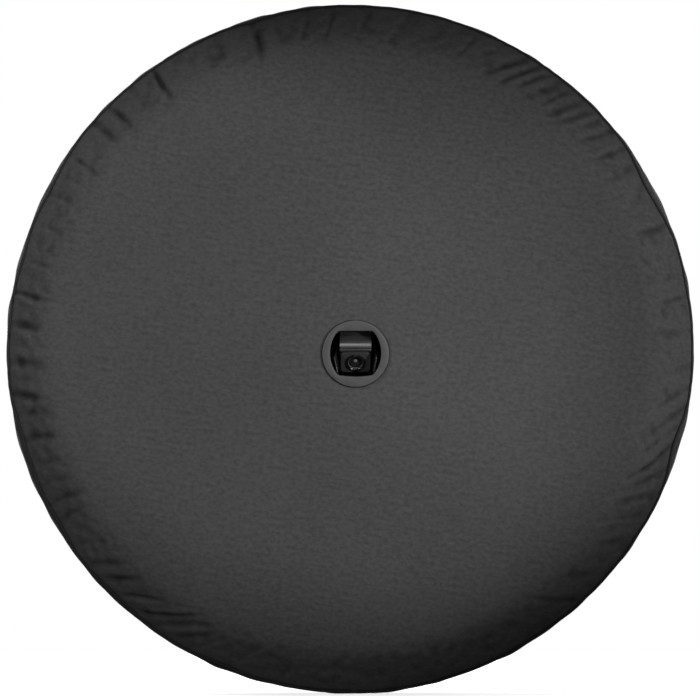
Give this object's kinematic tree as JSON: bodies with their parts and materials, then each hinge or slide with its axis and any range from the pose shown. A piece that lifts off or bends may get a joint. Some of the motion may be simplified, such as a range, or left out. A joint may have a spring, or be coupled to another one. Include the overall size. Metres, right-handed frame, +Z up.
{
  "type": "spare tire cover",
  "caption": "Round fabric cover for a spare tire, with piped seams, an elastic rear hem, drain eyelets and a centre port that holds a tilting rear camera.",
  "frame": {"origin": "where the cover's axis meets the inner side of the face, the plane that the tire's front sidewall bears on", "axes": "+Y along the cover's axis, from the face towards the open back; +Z up; +X to the right when looking at the face"},
  "size_m": [0.8172, 0.2637, 0.8183],
  "materials": {
    "canvas": "heathered charcoal canvas, matte",
    "welt": "black vinyl piping, low sheen",
    "binding": "black woven binding tape, matte",
    "webbing": "black woven webbing, matte",
    "elastic": "natural knitted elastic, matte",
    "bezel_plastic": "charcoal moulded plastic, fine matte grain",
    "hood_plastic": "dark grey moulded plastic, satin",
    "plate_plastic": "dark grey moulded plastic, satin",
    "bracket_plastic": "black moulded plastic, satin",
    "black_plastic": "black moulded plastic, matte",
    "lens_ring_black": "black moulded plastic, polished",
    "rubber": "black rubber, matte",
    "eyelet_metal": "blackened brass, satin",
    "steel": "stainless steel, satin",
    "lens_glass": "coated optical glass, polished",
    "circuit_board": "green solder mask, satin",
    "sensor_chip": "chip cover glass, polished"
  },
  "bodies": {
    "cover": {"back_skirt": "canvas", "bezel_gasket": "rubber", "bracket_screw_1": "steel", "bracket_screw_2": "steel", "bracket_screw_3": "steel", "bracket_screw_4": "steel", "cable_gland": "rubber", "camera_bezel": "bezel_plastic", "camera_bucket": "black_plastic", "drain_eyelet_1": "eyelet_metal", "drain_eyelet_2": "eyelet_metal", "drain_eyelet_3": "eyelet_metal", "drain_washer_1": "eyelet_metal", "drain_washer_2": "eyelet_metal", "drain_washer_3": "eyelet_metal", "face_panel": "canvas", "front_welt": "welt", "hem_casing": "binding", "hem_elastic": "elastic", "lock_ring": "black_plastic", "port_reinforcement": "webbing", "rear_welt": "welt", "tilt_bracket": "bracket_plastic", "tread_band": "canvas"},
    "camera": {"body_screw_1": "steel", "body_screw_2": "steel", "body_screw_3": "steel", "body_screw_4": "steel", "body_seal": "rubber", "cable_socket": "black_plastic", "camera_body_front": "black_plastic", "camera_body_rear": "black_plastic", "camera_hood": "hood_plastic", "friction_washer_left": "rubber", "friction_washer_right": "rubber", "image_sensor": "sensor_chip", "inner_lens": "lens_glass", "lens_barrel": "black_plastic", "lens_face_plate": "plate_plastic", "lens_glass": "lens_glass", "lens_ring": "lens_ring_black", "lens_seal": "rubber", "pivot_screw_left": "steel", "pivot_screw_right": "steel", "sensor_board": "circuit_board"}
  },
  "joints": [
    {"name": "camera_tilt", "type": "hinge", "parent": "cover", "child": "camera", "pos_m": [0.0066, 0.034, -0.0054], "axis": [1, 0, 0], "range_deg": [-12, 10]}
  ]
}
